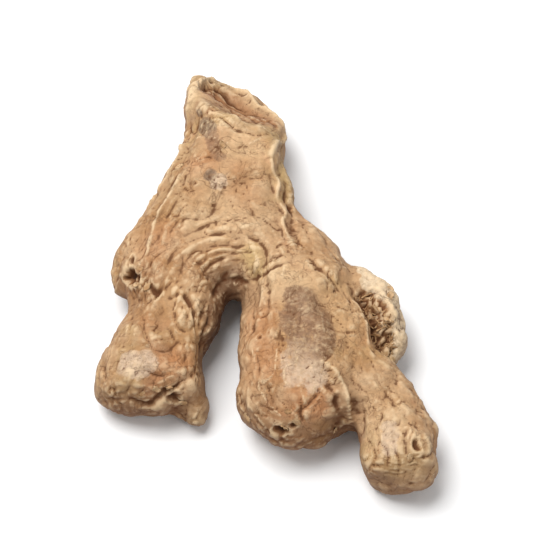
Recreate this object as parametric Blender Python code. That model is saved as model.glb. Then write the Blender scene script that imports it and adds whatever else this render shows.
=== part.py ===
"""A dried ginger rhizome, lying flat on its underside: one grown piece with a trunk, a left finger, a broad
lobe that carries a right finger, and small buds. Metres, +Z up. Run with: blender --background --python part.py

+Y points to the old end, where the trunk was broken from its parent, and the fingers point to -Y.
The origin is the centre of the bounding box, at the level of the surface that the rhizome rests on.
"""

import math

import bmesh
import bpy
from mathutils import Matrix, Vector

MM = 0.001

# Driving dimensions, in millimetres. A length runs along the limb's curved centre line, root included.
TRUNK_LENGTH = 42.0
TRUNK_WIDTH = 19.5
TRUNK_THICKNESS = 17.5
SHOULDER_WIDTH = 34.0
NECK_THICKNESS = 14.5
LEFT_FINGER_LENGTH = 50.0
LEFT_NECK_WIDTH = 20.0
LEFT_FINGER_WIDTH = 16.4
LEFT_FINGER_THICKNESS = 14.0
LEFT_TIP_WIDTH = 20.5
LOBE_LENGTH = 52.0
LOBE_NECK_WIDTH = 22.0
LOBE_WIDTH = 26.0
LOBE_TIP_WIDTH = 17.0
LOBE_THICKNESS = 18.5
RIGHT_FINGER_LENGTH = 39.0
RIGHT_FINGER_WIDTH = 15.0
RIGHT_FINGER_THICKNESS = 14.0
SIDE_BUD_LENGTH = 21.0
SIDE_BUD_WIDTH = 9.5
SIDE_BUD_THICKNESS = 9.0
HEEL_BUD_LENGTH = 17.0
HEEL_BUD_WIDTH = 12.5
HEEL_BUD_THICKNESS = 11.0
TOE_BUD_LENGTH = 7.8
TOE_BUD_WIDTH = 6.5
FORK_LIFT = 2.0
OLD_END_LIFT = 1.6
BUD_LIFT = 4.0

# The broken old end: a slanting, backward leaning face with a shrunken dish in it. Angles are in degrees.
OLD_END_SLANT = 27.0
OLD_END_TILT = 44.0
HOLLOW_DEPTH = 1.6
HOLLOW_RIM = 3.4
BREAK_STUB = 4.0

# How deep the limbs' undersides are worn flat where the rhizome rests.
REST_FLAT_DEPTH = 0.8

# How finely the skin is modelled.
SPINE_STEPS = 60
RINGS_PER_LIMB = 28
SIDES_PER_RING = 24
RING_SQUARENESS = 2.25
VOXEL = 0.8
MELT_PASSES = 10
RELAX_PASSES = 2
LUMP_SIZE = 6.0
LUMP_HEIGHT = 0.8
KEPT_SHARE = 0.13
CUTTER_SIZE = 200.0

LEFT_HAND = 1
RIGHT_HAND = -1

GINGER_TAN = (0.58, 0.39, 0.22, 1.0)


def value_at(values, share):
    """The value at a share from 0 to 1, on a smooth curve through evenly spaced values."""
    spans = len(values) - 1
    if spans == 0:
        return values[0]
    index = min(int(share * spans), spans - 1)
    t = share * spans - index
    before, a, b, after = (values[min(max(index + k, 0), spans)] for k in (-1, 0, 1, 2))
    bend = before - 2.5 * a + 2 * b - after / 2
    twist = 1.5 * (a - b) + (after - before) / 2
    return a + t * ((b - before) / 2 + t * (bend + t * twist))


class Limb:
    """A limb of the rhizome. Its headings, widths, thicknesses and lifts are given at even steps along it.

    A heading is the angle in degrees from +X, anticlockwise, seen from above. A lift is the underside's height.
    caps are the lengths of the two domed ends.
    """

    def __init__(self, root, length, headings, widths, thicknesses, lifts, caps):
        self.length = length
        self.headings = headings
        self.widths = widths
        self.thicknesses = thicknesses
        self.lifts = lifts
        self.caps = caps
        self.spine = [Vector(root)]
        for step in range(SPINE_STEPS):
            stride = self.direction((step + 0.5) / SPINE_STEPS) * length / SPINE_STEPS
            self.spine.append(self.spine[-1] + stride)

    def direction(self, share):
        angle = math.radians(value_at(self.headings, share))
        return Vector((math.cos(angle), math.sin(angle)))

    def plan(self, share):
        """The point of the centre line at a share of the length, seen from above."""
        place = share * SPINE_STEPS
        index = min(int(place), SPINE_STEPS - 1)
        return self.spine[index].lerp(self.spine[index + 1], place - index)

    def flank(self, share, hand, inset):
        """A point inside the limb's flank, on its left or right hand as it grows."""
        across = self.direction(share).orthogonal() * hand
        return self.plan(share) + across * (value_at(self.widths, share) / 2 - inset)

    def centre(self, share):
        height = value_at(self.thicknesses, share) / 2 - REST_FLAT_DEPTH + value_at(self.lifts, share)
        return self.plan(share).to_3d() + Vector((0, 0, height))

    def fullness(self, share):
        """The share of its full size that the limb has near its two domed ends."""
        size = 1.0
        for distance, cap in ((share * self.length, self.caps[0]), ((1 - share) * self.length, self.caps[1])):
            if distance < cap:
                size *= math.sqrt(max(0.0, 1 - (1 - distance / cap) ** 2))
        return size


def grow_trunk():
    """The trunk, from a stub that is broken off behind the origin to the fork, where it is broadest."""
    stub = TRUNK_THICKNESS / 2 + BREAK_STUB
    return Limb(
        root=(0.0, stub), length=stub + TRUNK_LENGTH, headings=(-90, -91, -95, -99, -88, -80),
        widths=(TRUNK_WIDTH, TRUNK_WIDTH, TRUNK_WIDTH, SHOULDER_WIDTH * 0.8, SHOULDER_WIDTH, SHOULDER_WIDTH),
        thicknesses=(TRUNK_THICKNESS, TRUNK_THICKNESS, TRUNK_THICKNESS, NECK_THICKNESS, NECK_THICKNESS),
        lifts=(OLD_END_LIFT, OLD_END_LIFT / 4, 0, FORK_LIFT, FORK_LIFT), caps=(4, 10),
    )


def grow_left_finger(trunk):
    neck, tip = LEFT_NECK_WIDTH, LEFT_TIP_WIDTH
    thick = LEFT_FINGER_THICKNESS
    return Limb(
        root=trunk.flank(0.56, RIGHT_HAND, 9.5), length=LEFT_FINGER_LENGTH,
        headings=(-112, -113, -100, -92, -114, -106, -88),
        widths=(neck * 0.8, neck * 0.9, neck, neck * 0.95, LEFT_FINGER_WIDTH, tip, tip),
        thicknesses=(NECK_THICKNESS * 0.9, NECK_THICKNESS, thick, thick + 1, thick),
        lifts=(FORK_LIFT, FORK_LIFT, 1.5, 0.5, 0), caps=(7, 5),
    )


def grow_lobe(trunk):
    neck, wide = LOBE_NECK_WIDTH, LOBE_WIDTH
    thick = LOBE_THICKNESS
    return Limb(
        root=trunk.flank(0.66, LEFT_HAND, 10), length=LOBE_LENGTH, headings=(-54, -58, -78, -92, -88, -80),
        widths=(neck * 0.55, neck * 0.73, neck * 0.95, neck * 1.05, wide, wide, LOBE_TIP_WIDTH),
        thicknesses=(NECK_THICKNESS * 0.9, NECK_THICKNESS, thick - 1.5, thick, thick - 3),
        lifts=(FORK_LIFT, FORK_LIFT, 1, 0, 0), caps=(8, 8),
    )


def grow_right_finger(lobe):
    wide, thick = RIGHT_FINGER_WIDTH, RIGHT_FINGER_THICKNESS
    return Limb(
        root=lobe.flank(0.5, LEFT_HAND, 8.5), length=RIGHT_FINGER_LENGTH, headings=(-54, -54, -60, -80, -90),
        widths=(wide * 0.8, wide * 0.8, wide * 0.93, wide), thicknesses=(thick,),
        lifts=(1.5, 0.8, 0), caps=(7, 6),
    )


def grow_side_bud(lobe):
    wide, thick = SIDE_BUD_WIDTH, SIDE_BUD_THICKNESS
    return Limb(
        root=lobe.flank(0.34, LEFT_HAND, 1), length=SIDE_BUD_LENGTH, headings=(-52, -64, -84),
        widths=(wide * 0.85, wide, wide * 0.9), thicknesses=(thick * 0.9, thick, thick * 0.9),
        lifts=(BUD_LIFT + 1, BUD_LIFT, BUD_LIFT - 1), caps=(4, 4),
    )


def grow_heel_bud(left_finger):
    return Limb(
        root=left_finger.flank(0.22, RIGHT_HAND, 7), length=HEEL_BUD_LENGTH, headings=(-136, -106),
        widths=(HEEL_BUD_WIDTH,), thicknesses=(HEEL_BUD_THICKNESS, HEEL_BUD_THICKNESS * 0.9),
        lifts=(BUD_LIFT - 1, BUD_LIFT - 1.5), caps=(5, 5),
    )


def grow_toe_bud(left_finger):
    return Limb(
        root=left_finger.flank(0.87, LEFT_HAND, 4), length=TOE_BUD_LENGTH, headings=(-62,),
        widths=(TOE_BUD_WIDTH,), thicknesses=(TOE_BUD_WIDTH,), lifts=(0.9,), caps=(3, 3),
    )


def ring_point(angle):
    """A point of a rounded, slightly squared ring that is one unit from its middle to each side."""
    c, s = math.cos(angle), math.sin(angle)
    reach = (abs(c) ** RING_SQUARENESS + abs(s) ** RING_SQUARENESS) ** (-1 / RING_SQUARENESS)
    return c * reach, s * reach


def add_limb(bm, limb):
    """Lofts a limb through its rings and closes both ends with a fan."""
    rings = []
    for step in range(1, RINGS_PER_LIMB):
        share = (1 - math.cos(math.pi * step / RINGS_PER_LIMB)) / 2
        across = limb.direction(share).orthogonal().to_3d()
        half_width = value_at(limb.widths, share) / 2 * limb.fullness(share)
        half_thickness = value_at(limb.thicknesses, share) / 2 * limb.fullness(share)
        ring = []
        for side in range(SIDES_PER_RING):
            u, w = ring_point(2 * math.pi * side / SIDES_PER_RING)
            offset = across * u * half_width + Vector((0, 0, w * half_thickness))
            ring.append(bm.verts.new(limb.centre(share) + offset))
        rings.append(ring)
    for ring, following in zip(rings, rings[1:]):
        for side in range(SIDES_PER_RING):
            after = (side + 1) % SIDES_PER_RING
            bm.faces.new((ring[side], ring[after], following[after], following[side]))
    for ring, share in ((rings[0], 0.0), (rings[-1], 1.0)):
        tip = bm.verts.new(limb.centre(share))
        for side in range(SIDES_PER_RING):
            bm.faces.new((ring[side], ring[(side + 1) % SIDES_PER_RING], tip))


def link_mesh(name, bm):
    """Turns a bmesh drawn in millimetres into an object in metres."""
    bmesh.ops.scale(bm, vec=(MM, MM, MM), verts=bm.verts)
    bmesh.ops.recalc_face_normals(bm, faces=bm.faces)
    mesh = bpy.data.meshes.new(name)
    bm.to_mesh(mesh)
    bm.free()
    obj = bpy.data.objects.new(name, mesh)
    bpy.context.collection.objects.link(obj)
    return obj


def half_space(name, frame):
    """A large block that fills everything on the +Y side of a frame."""
    bm = bmesh.new()
    beyond = Matrix.Translation((0, CUTTER_SIZE / 2, 0))
    bmesh.ops.create_cube(bm, size=CUTTER_SIZE, matrix=frame @ beyond)
    return link_mesh(name, bm)


def old_end_frame(trunk):
    """The middle of the broken face: X runs along it, Y points out of it and Z up it."""
    middle = Vector((0, 0, trunk.centre(0).z))
    slant = Matrix.Rotation(math.radians(-OLD_END_SLANT), 4, "Z")
    tilt = Matrix.Rotation(math.radians(OLD_END_TILT), 4, "X")
    return Matrix.Translation(middle) @ slant @ tilt


def end_hollow(frame):
    """The dish that shrinking leaves in the broken face, inside a rolled rim."""
    half_width = TRUNK_WIDTH / 2 / math.cos(math.radians(OLD_END_SLANT)) - HOLLOW_RIM
    half_height = TRUNK_THICKNESS / 2 / math.cos(math.radians(OLD_END_TILT)) - HOLLOW_RIM
    bm = bmesh.new()
    size = Matrix.Diagonal((half_width, HOLLOW_DEPTH, half_height, 1))
    bmesh.ops.create_icosphere(bm, subdivisions=3, radius=1.0, matrix=frame @ size)
    return link_mesh("end_hollow", bm)


def cut_away(obj, tool):
    """Takes the tool's volume away from the object and leaves the tool as a wire guide."""
    tool.hide_render = True
    tool.display_type = "WIRE"
    tool.parent = obj
    cut = obj.modifiers.new(tool.name, "BOOLEAN")
    cut.operation = "DIFFERENCE"
    cut.object = tool
    cut.solver = "EXACT"


def even_skin(obj, name):
    """Melts everything that overlaps into one closed skin of even faces."""
    skin = obj.modifiers.new(name, "REMESH")
    skin.mode = "VOXEL"
    skin.voxel_size = VOXEL * MM


def melt(obj, name, passes):
    """Rounds the creases of a skin."""
    smooth = obj.modifiers.new(name, "SMOOTH")
    smooth.factor = 0.5
    smooth.iterations = passes


def shrivel(obj, name):
    """Raises and sinks the skin by soft lumps, as drying does."""
    lumps = bpy.data.textures.new(name, "CLOUDS")
    lumps.noise_scale = LUMP_SIZE * MM
    dent = obj.modifiers.new(name, "DISPLACE")
    dent.texture = lumps
    dent.texture_coords = "LOCAL"
    dent.strength = LUMP_HEIGHT * MM * 2
    dent.mid_level = 0.5


def thin_out(obj, name):
    """Keeps only as many faces as the shape needs."""
    fewer = obj.modifiers.new(name, "DECIMATE")
    fewer.ratio = KEPT_SHARE


def ginger_material():
    material = bpy.data.materials.new("dried_ginger")
    material.use_nodes = True
    shader = material.node_tree.nodes["Principled BSDF"]
    shader.inputs["Base Color"].default_value = GINGER_TAN
    shader.inputs["Roughness"].default_value = 0.85
    shader.inputs["Metallic"].default_value = 0.0
    return material


def make_rhizome():
    """The whole rhizome: its limbs melted into one skin, its old end broken off, its underside worn flat."""
    trunk = grow_trunk()
    left_finger = grow_left_finger(trunk)
    lobe = grow_lobe(trunk)
    buds = [grow_side_bud(lobe), grow_heel_bud(left_finger), grow_toe_bud(left_finger)]
    bm = bmesh.new()
    for limb in [trunk, left_finger, lobe, grow_right_finger(lobe)] + buds:
        add_limb(bm, limb)
    rhizome = link_mesh("ginger_rhizome", bm)
    rhizome.data.materials.append(ginger_material())

    frame = old_end_frame(trunk)
    even_skin(rhizome, "fuse_limbs")
    cut_away(rhizome, half_space("old_end_break", frame))
    cut_away(rhizome, end_hollow(frame))
    even_skin(rhizome, "even_skin")
    melt(rhizome, "melt_joins", MELT_PASSES)
    shrivel(rhizome, "shrunken_lumps")
    thin_out(rhizome, "fewer_faces")
    melt(rhizome, "relax_faces", RELAX_PASSES)
    cut_away(rhizome, half_space("rest_flat", Matrix.Rotation(math.radians(-90), 4, "X")))
    return rhizome


def stand_at_origin(obj):
    """Puts the middle of the object's bounding box over the origin. Its underside is already at zero."""
    bpy.context.view_layer.update()
    shape = obj.evaluated_get(bpy.context.evaluated_depsgraph_get())
    corners = [Vector(corner) for corner in shape.bound_box]
    for axis in (0, 1):
        places = [corner[axis] for corner in corners]
        obj.location[axis] = -(min(places) + max(places)) / 2


for old in list(bpy.data.objects):
    bpy.data.objects.remove(old)
stand_at_origin(make_rhizome())
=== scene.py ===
# %% [markdown]
# # A dried ginger rhizome
#
# A rhizome is an underground stem. This one grew as a single piece: a trunk that was broken from its
# parent, a left finger, a broad lobe, a right finger and a few buds. Drying has pulled the skin tight
# over the fibres inside, so the whole surface is folded, creased and stained.
#
# The measured shape comes first and never changes. It is loaded as a fixed frame, and the skin built
# here stands in for it.

# %% Load the measured shape
import math

import bmesh
import bpy
import numpy as np
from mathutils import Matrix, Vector
from mathutils.bvhtree import BVHTree
from mathutils.kdtree import KDTree


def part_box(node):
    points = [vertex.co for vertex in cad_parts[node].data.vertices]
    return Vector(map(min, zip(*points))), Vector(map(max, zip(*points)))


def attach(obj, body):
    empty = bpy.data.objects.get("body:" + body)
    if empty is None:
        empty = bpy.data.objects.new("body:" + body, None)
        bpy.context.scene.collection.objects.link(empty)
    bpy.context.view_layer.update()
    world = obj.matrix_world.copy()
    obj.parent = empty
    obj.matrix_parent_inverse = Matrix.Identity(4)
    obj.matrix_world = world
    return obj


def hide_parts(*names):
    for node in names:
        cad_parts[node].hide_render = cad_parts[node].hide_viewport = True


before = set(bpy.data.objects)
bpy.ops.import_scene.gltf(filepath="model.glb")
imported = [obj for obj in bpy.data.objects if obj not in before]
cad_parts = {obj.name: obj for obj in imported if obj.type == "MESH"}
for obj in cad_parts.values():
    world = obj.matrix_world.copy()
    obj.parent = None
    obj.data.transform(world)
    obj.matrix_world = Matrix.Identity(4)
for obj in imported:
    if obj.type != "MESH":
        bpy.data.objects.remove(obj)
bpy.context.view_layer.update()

MM = 0.001
low, high = (np.array(corner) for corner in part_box("ginger_rhizome"))
print("rhizome, mm:", np.round((high - low) / MM, 1))

# %% [markdown]
# ## The camera
#
# The rhizome is looked down on from 62 degrees above the table, square to its length. A long lens
# keeps the near and far ends in proportion, as in a catalogue picture.

# %% Camera
LOOK_DOWN = math.radians(62)
LENS = 400
CAMERA_DISTANCE = 1.13

scene = bpy.context.scene
centre = Vector((low + high) / 2) + Vector((0, 0.0005, 0))
camera = bpy.data.objects.new("camera", bpy.data.cameras.new("camera"))
scene.collection.objects.link(camera)
towards_camera = Vector((0, -math.cos(LOOK_DOWN), math.sin(LOOK_DOWN)))
camera.location = centre + towards_camera * CAMERA_DISTANCE
camera.rotation_euler = (math.pi / 2 - LOOK_DOWN, 0, 0)
camera.data.lens = LENS
camera.data.clip_start = 0.01
scene.camera = camera
print("camera at", [round(x, 3) for x in camera.location])

# %% [markdown]
# ## A fine, even skin
#
# The measured shape is about 5,000 flat triangles. Wrinkles need many more points, spread evenly, so
# a copy of it is merged and remeshed with a voxel grid. A little smoothing then takes away the facets.
# Subdividing would be simpler, but it would keep the facets' long thin triangles.

# %% Remesh a copy of the measured shape
GRID = 0.35 * MM
FACET_ROUNDS = 12
SAME_POINT = 1e-6


def plain_copy(source):
    """The object as it is seen, with its modifiers worked out, as a new plain mesh."""
    seen = source.evaluated_get(bpy.context.evaluated_depsgraph_get())
    return bpy.data.meshes.new_from_object(seen)


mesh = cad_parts["ginger_rhizome"].data.copy()
shape = bmesh.new()
shape.from_mesh(mesh)
bmesh.ops.remove_doubles(shape, verts=shape.verts, dist=SAME_POINT)
shape.to_mesh(mesh)
shape.free()
mesh.materials.clear()
skin = bpy.data.objects.new("ginger_skin", mesh)
scene.collection.objects.link(skin)
remesh = skin.modifiers.new("even grid", "REMESH")
remesh.mode = "VOXEL"
remesh.voxel_size = GRID
mesh = plain_copy(skin)
skin.modifiers.clear()
skin.data = mesh
print("skin:", len(mesh.vertices), "points,", len(mesh.polygons), "faces")

# %% [markdown]
# ## Numbers on the skin
#
# From here on, a quantity on the skin is a list with one number for each point. Such a list is
# smoothed by mixing each point with its neighbours. Most lists start from a path laid on the skin:
# each point's distance from it says how strongly a mark, a patch or a colour is felt there.

# %% Points, neighbours and smoothing
count = len(mesh.vertices)
ends = np.empty(len(mesh.edges) * 2, int)
mesh.edges.foreach_get("vertices", ends)
one_end, other_end = ends.reshape(-1, 2).T
neighbours = np.bincount(ends, minlength=count)


def smooth(values, rounds, share=0.5):
    """Mixes each point's value with its neighbours' mean, several times over."""
    values = np.array(values, float)
    columns = values.reshape(count, -1)
    for _ in range(rounds):
        for k in range(columns.shape[1]):
            total = np.bincount(one_end, columns[other_end, k], count)
            total += np.bincount(other_end, columns[one_end, k], count)
            columns[:, k] += share * (total / neighbours - columns[:, k])
    return values


def get_points(source):
    """A mesh's points, one row each."""
    found = np.empty(len(source.vertices) * 3)
    source.vertices.foreach_get("co", found)
    return found.reshape(-1, 3)


def set_points(target, new_points):
    """Moves a mesh's points to new places."""
    target.vertices.foreach_set("co", np.asarray(new_points, np.float32).ravel())
    target.update()


def normals():
    """Which way the skin faces at each point."""
    found = np.empty(count * 3)
    mesh.vertices.foreach_get("normal", found)
    return found.reshape(-1, 3)


points = smooth(get_points(mesh), FACET_ROUNDS)
set_points(mesh, points)
outward = normals()
surface = BVHTree.FromPolygons(points.tolist(), [list(f.vertices) for f in mesh.polygons])
print("facets smoothed; highest point, mm:", round(points[:, 2].max() / MM, 2))

# %% Paths laid on the skin
PATH_STEP = 0.4 * MM
MIDDLE = np.array((0.45, 0.5))
PULL_STEP = 0.01
MOST_PULLS = 12
BESIDE_HEIGHT = 5 * MM


def spot(u, v):
    """A point on top of the skin, from its shares of the box: u across it, v along it. A place just
    past the outline is pulled towards the middle, step by step, until the skin is under it."""
    share = np.array((u, v))
    for pull in range(MOST_PULLS):
        x, y = low[:2] + (share + (MIDDLE - share) * PULL_STEP * pull) * (high - low)[:2]
        hit = surface.ray_cast(Vector((x, y, 1)), Vector((0, 0, -1)))[0]
        if hit is not None:
            return np.array(hit)
    return np.array((*(low[:2] + share * (high - low)[:2]), BESIDE_HEIGHT))


def lay(shares):
    """A smooth path through the given spots, as points a step apart, lying on the skin."""
    knots = np.array(shares, float)
    if len(knots) == 1:
        return spot(*knots[0])[None]
    knots = np.vstack([2 * knots[0] - knots[1], knots, 2 * knots[-1] - knots[-2]])
    path = []
    for a, b, c, d in zip(knots, knots[1:], knots[2:], knots[3:]):
        size = np.linalg.norm((c - b) * (high - low)[:2])
        for t in np.linspace(0, 1, max(2, int(size / PATH_STEP)), endpoint=False):
            path.append(0.5 * (2 * b + (c - a) * t + (2 * a - 5 * b + 4 * c - d) * t ** 2
                               + (3 * b - a - 3 * c + d) * t ** 3))
    path.append(knots[-2])
    return np.array([spot(u, v) for u, v in path])


def nearest(path):
    """Each point's distance from a path, and which of the path's points is nearest."""
    best = np.full(count, np.inf)
    which = np.zeros(count, int)
    for k, place in enumerate(path):
        gap = ((points - place) ** 2).sum(1)
        closer = gap < best
        best[closer] = gap[closer]
        which[closer] = k
    return np.sqrt(best), which


def eased(share):
    """A share from 0 to 1, with its start and its end rounded off."""
    share = np.clip(share, 0, 1)
    return share * share * (3 - 2 * share)


def patch(shares, radius):
    """1 on a path, falling smoothly to 0 at a radius in millimetres from it."""
    return eased(1 - nearest(lay(shares))[0] / (radius * MM))


def set_patches(amounts, entries):
    """Pulls amounts on the skin to new values in soft patches, each (spots, radius mm, value)."""
    for shares, radius, value in entries:
        amounts += patch(shares, radius) * (value - amounts)


# %% Seeded noise of a chosen size
SEED = 11
chance = np.random.default_rng(SEED)


def even_out(values):
    """Shifts and scales values to a mean of 0 and a spread of 1."""
    values = values - values.mean()
    return values / values.std()


def noise(rounds):
    """Random lumps on the skin: more rounds of smoothing make them broader."""
    return even_out(smooth(chance.standard_normal(count), rounds))


lumps_small, lumps_middle, lumps_broad = noise(10), noise(50), noise(260)
print("noise ready")

# %% [markdown]
# ## Combing the skin
#
# Wrinkles on a dried root all run somewhere: along the fingers, round the fork, round the broken rim
# and in arcs at the tips. A few comb strokes say which way. Every point takes a blend of the strokes'
# directions, and random noise is then drawn out along it, as hair is by a comb. Plain noise would
# give lumps with no direction, and drawing each wrinkle by hand would take hundreds of paths.

# %% Comb strokes and the direction at every point
FORK_ARCS = [
    [(0.21, 0.53), (0.265, 0.545), (0.325, 0.57), (0.41, 0.58), (0.48, 0.55)],
    [(0.24, 0.465), (0.30, 0.51), (0.36, 0.52), (0.43, 0.52)],
    [(0.29, 0.43), (0.34, 0.48), (0.41, 0.50)],
]
COMBS = FORK_ARCS + [
    [(0.27, 0.88), (0.33, 0.96), (0.42, 0.92), (0.52, 0.85)],
    [(0.25, 0.80), (0.22, 0.72), (0.14, 0.63)],
    [(0.24, 0.68), (0.19, 0.59), (0.15, 0.51)],
    [(0.28, 0.76), (0.38, 0.75), (0.49, 0.74)],
    [(0.25, 0.66), (0.36, 0.67), (0.49, 0.65)],
    [(0.24, 0.60), (0.35, 0.62), (0.52, 0.60)],
    [(0.53, 0.78), (0.51, 0.71), (0.53, 0.65), (0.56, 0.56)],
    [(0.57, 0.78), (0.57, 0.70), (0.60, 0.60), (0.66, 0.52)],
    [(0.20, 0.47), (0.16, 0.38), (0.10, 0.30), (0.07, 0.24)],
    [(0.27, 0.44), (0.23, 0.36), (0.18, 0.29), (0.15, 0.22)],
    [(0.33, 0.44), (0.30, 0.36), (0.29, 0.28), (0.28, 0.21)],
    [(0.04, 0.20), (0.12, 0.17), (0.22, 0.18), (0.29, 0.20)],
    [(0.17, 0.52), (0.12, 0.50), (0.08, 0.46)],
    [(0.18, 0.44), (0.12, 0.41)],
    [(0.50, 0.47), (0.49, 0.38), (0.46, 0.28), (0.47, 0.18)],
    [(0.60, 0.47), (0.60, 0.36), (0.59, 0.25), (0.60, 0.16)],
    [(0.70, 0.46), (0.70, 0.36), (0.70, 0.26), (0.66, 0.19)],
    [(0.52, 0.14), (0.60, 0.11), (0.70, 0.13)],
    [(0.72, 0.48), (0.77, 0.38), (0.81, 0.27), (0.88, 0.18), (0.95, 0.10)],
    [(0.72, 0.24), (0.78, 0.15), (0.80, 0.08)],
    [(0.80, 0.22), (0.86, 0.14), (0.88, 0.07)],
    [(0.82, 0.03), (0.88, 0.015), (0.95, 0.03)],
    [(0.78, 0.46), (0.84, 0.40), (0.89, 0.32)],
]
COMB_REACH = 2.0 * MM
TINY = 1e-12

grain = np.zeros((count, 3, 3))
for shares in COMBS:
    path = lay(shares)
    heading = np.gradient(path, axis=0)
    heading /= np.linalg.norm(heading, axis=1)[:, None] + TINY
    gap, which = nearest(path)
    pull = 1 / ((gap / COMB_REACH) ** 2 + 1) ** 2
    along = heading[which]
    grain += pull[:, None, None] * along[:, :, None] * along[:, None, :]
flat = np.eye(3) - outward[:, :, None] * outward[:, None, :]
grain = flat @ grain @ flat
direction = np.linalg.eigh(grain)[1][:, :, 2]
direction -= (direction * outward).sum(1)[:, None] * outward
direction /= np.linalg.norm(direction, axis=1)[:, None] + TINY
print("combed with", len(COMBS), "strokes")

# %% Draw noise out along the combed direction
STREAK_STEP = 0.9 * MM
CLOSE_BY = 0.02 * MM

finder = KDTree(count)
for k, place in enumerate(points):
    finder.insert(place, k)
finder.balance()


def one_step(way):
    """For each point, the three points round the place one step along the comb, and their shares."""
    index, share = np.empty((count, 3), int), np.empty((count, 3))
    for k, place in enumerate(points + direction * STREAK_STEP * way):
        found = finder.find_n(place, 3)
        index[k] = [f[1] for f in found]
        share[k] = [1 / (f[2] + CLOSE_BY) for f in found]
    return index, share / share.sum(1)[:, None]


ahead, behind = one_step(1), one_step(-1)


def streaks(lump_rounds, comb_rounds):
    """Noise drawn out along the comb: more comb rounds make longer streaks."""
    values = noise(lump_rounds)
    for _ in range(comb_rounds):
        drawn = sum((values[index] * share).sum(1) for index, share in (ahead, behind))
        values = 0.5 * values + 0.25 * drawn
    return even_out(values)


def creased(values, crease_width):
    """Rounded swellings with creases between them, from 0 in a crease to 1."""
    return 1 - np.exp(-np.abs(values) / crease_width)


def partly(combed, lump_rounds, comb_rounds):
    """Noise that follows the comb as strongly as combed says, from 0 to 1, at each point."""
    mixed = combed * streaks(lump_rounds, comb_rounds) + (1 - combed) * noise(lump_rounds)
    return mixed / np.sqrt(combed ** 2 + (1 - combed) ** 2)


def soft_step(values, start, steepness):
    """Rises smoothly from 0 to 1, halfway at start."""
    return 1 / (1 + np.exp(-steepness * (values - start)))


MOSTLY_COMBED = 0.5
combed = np.full(count, MOSTLY_COMBED)
set_patches(combed, [
    ([(0.22, 0.50), (0.33, 0.53), (0.44, 0.55)], 12, 0.9),
    ([(0.26, 0.45), (0.20, 0.36)], 9, 0.75),
    ([(0.36, 0.66), (0.36, 0.60)], 9, 0.6),
    ([(0.58, 0.60), (0.66, 0.52)], 7, 0.7),
    ([(0.61, 0.38), (0.61, 0.22)], 10, 0.3),
    ([(0.86, 0.02), (0.94, 0.04)], 6, 0.7),
    ([(0.54, 0.14), (0.68, 0.12)], 8, 0.8),
])
CRACK_WIDTH = 0.13
CREST_WIDTH = 0.12
swell = partly(combed, lump_rounds=150, comb_rounds=8)
fold_relief = creased(partly(combed, lump_rounds=80, comb_rounds=14), crease_width=0.7)
wrinkle_relief = creased(partly(combed, lump_rounds=9, comb_rounds=9), crease_width=0.5)
net_relief = creased(noise(3), crease_width=0.35)
patchy = soft_step(noise(200), 0, 2.0)
cracks = np.exp(-(partly(combed, lump_rounds=20, comb_rounds=6) / CRACK_WIDTH) ** 2)
cracks *= soft_step(noise(70), 0.55, 5)
crests = np.exp(-np.abs(streaks(lump_rounds=45, comb_rounds=16)) / CREST_WIDTH)
crests *= soft_step(noise(90), 0.8, 5)
print("streaks drawn")

# %% [markdown]
# ## The marks that make this piece itself
#
# Some marks are too particular for noise: the rolled rim of the old break, the wavy rib down the
# trunk's right side, the creases round the fork, the ledge at the end of the left finger, and the
# holes where roots and buds were. Each is one stroke or one pit: a path on the skin, a width, and a
# height that is positive for a ridge and negative for a groove. Noise makes the width and height
# uneven, because nothing on a root is drawn with a ruler.

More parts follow.
